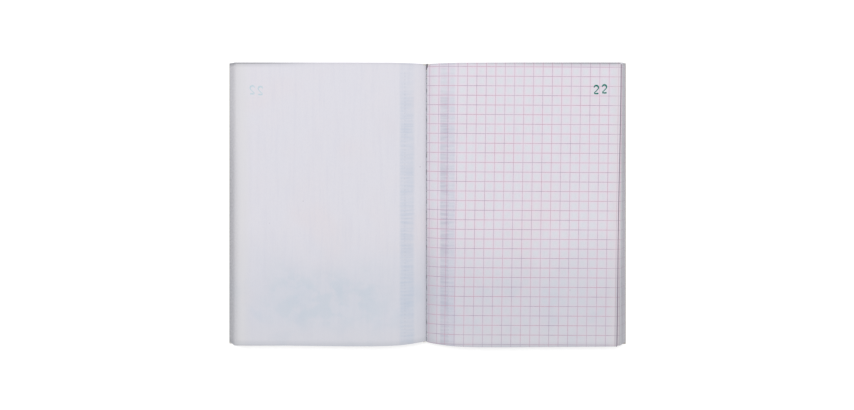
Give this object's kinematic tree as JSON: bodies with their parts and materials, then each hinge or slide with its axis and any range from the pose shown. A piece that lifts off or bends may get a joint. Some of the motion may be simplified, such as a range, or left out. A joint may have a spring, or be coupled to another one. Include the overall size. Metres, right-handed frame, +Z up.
{
  "type": "triplicate book",
  "caption": "Pocket triplicate book of numbered leaf sets with a glued, cloth-taped spine, lying open on its back at a squared page.",
  "frame": {"origin": "on the table, below the fold, half way along it", "axes": "+X across the right-hand page, +Y along the fold to the head, +Z up from the table"},
  "size_m": [0.2098, 0.148, 0.007],
  "materials": {
    "paper_white": "uncoated, translucent, soft matt",
    "paper_tinted": "uncoated, squared in pink",
    "paper_pink": "uncoated, squared in pink",
    "paper_pile": "uncoated leaves, trimmed edges",
    "cover_card": "smooth printed card",
    "cover_board": "plain greyboard",
    "tape_cloth": "woven book cloth",
    "padding_glue": "dried padding glue"
  },
  "bodies": {
    "back_board": {"spine_tape_back": "tape_cloth", "back_cover": "cover_board", "spine_glue_back": "padding_glue"},
    "back_pages": {"set_23": "paper_pile", "set_24": "paper_pile", "set_25": "paper_pile", "set_26": "paper_pile", "set_27": "paper_pile", "set_28": "paper_pile", "set_29": "paper_pile", "set_30": "paper_pile", "set_31": "paper_pile", "set_32": "paper_pile", "set_33": "paper_pile", "set_34": "paper_pile", "set_35": "paper_pile", "set_36": "paper_pile", "set_37": "paper_pile", "set_38": "paper_pile", "set_39": "paper_pile", "set_40": "paper_pile", "set_41": "paper_pile", "set_42": "paper_pile", "set_43": "paper_pile", "set_44": "paper_pile", "set_45": "paper_pile", "set_46": "paper_pile", "set_47": "paper_pile", "set_48": "paper_pile", "set_49": "paper_pile", "set_50": "paper_pile"},
    "triplicate": {"leaf_22_triplicate": "paper_pink"},
    "duplicate": {"leaf_22_duplicate": "paper_tinted"},
    "front_board": {"spine_tape_front": "tape_cloth", "front_cover": "cover_card", "spine_glue_front": "padding_glue"},
    "front_pages": {"set_01": "paper_pile", "set_02": "paper_pile", "set_03": "paper_pile", "set_04": "paper_pile", "set_05": "paper_pile", "set_06": "paper_pile", "set_07": "paper_pile", "set_08": "paper_pile", "set_09": "paper_pile", "set_10": "paper_pile", "set_11": "paper_pile", "set_12": "paper_pile", "set_13": "paper_pile", "set_14": "paper_pile", "set_15": "paper_pile", "set_16": "paper_pile", "set_17": "paper_pile", "set_18": "paper_pile", "set_19": "paper_pile", "set_20": "paper_pile", "set_21": "paper_pile"},
    "original": {"leaf_22_original": "paper_white"}
  },
  "joints": [
    {"name": "front_cover_turn", "type": "hinge", "parent": "back_board", "child": "front_board", "pos_m": [-0.0007, 0, 0.00712], "axis": [0, 1, 0], "range_deg": [0, 179.95]},
    {"name": "front_pages_turn", "type": "hinge", "parent": "front_board", "child": "front_pages", "pos_m": [-0.0007, 0, 0.00712], "axis": [0, 1, 0], "range_deg": [0, 179.95]},
    {"name": "original_turn", "type": "hinge", "parent": "front_pages", "child": "original", "pos_m": [-0.0007, 0, 0.00712], "axis": [0, 1, 0], "range_deg": [0, 179.95]},
    {"name": "back_pages_turn", "type": "hinge", "parent": "back_board", "child": "back_pages", "pos_m": [-0.0007, 0, 0.00712], "axis": [0, -1, 0], "range_deg": [0, 179.95]},
    {"name": "triplicate_turn", "type": "hinge", "parent": "back_pages", "child": "triplicate", "pos_m": [-0.0007, 0, 0.00712], "axis": [0, -1, 0], "range_deg": [0, 179.95]},
    {"name": "duplicate_turn", "type": "hinge", "parent": "triplicate", "child": "duplicate", "pos_m": [-0.0007, 0, 0.00712], "axis": [0, -1, 0], "range_deg": [0, 179.95]}
  ]
}
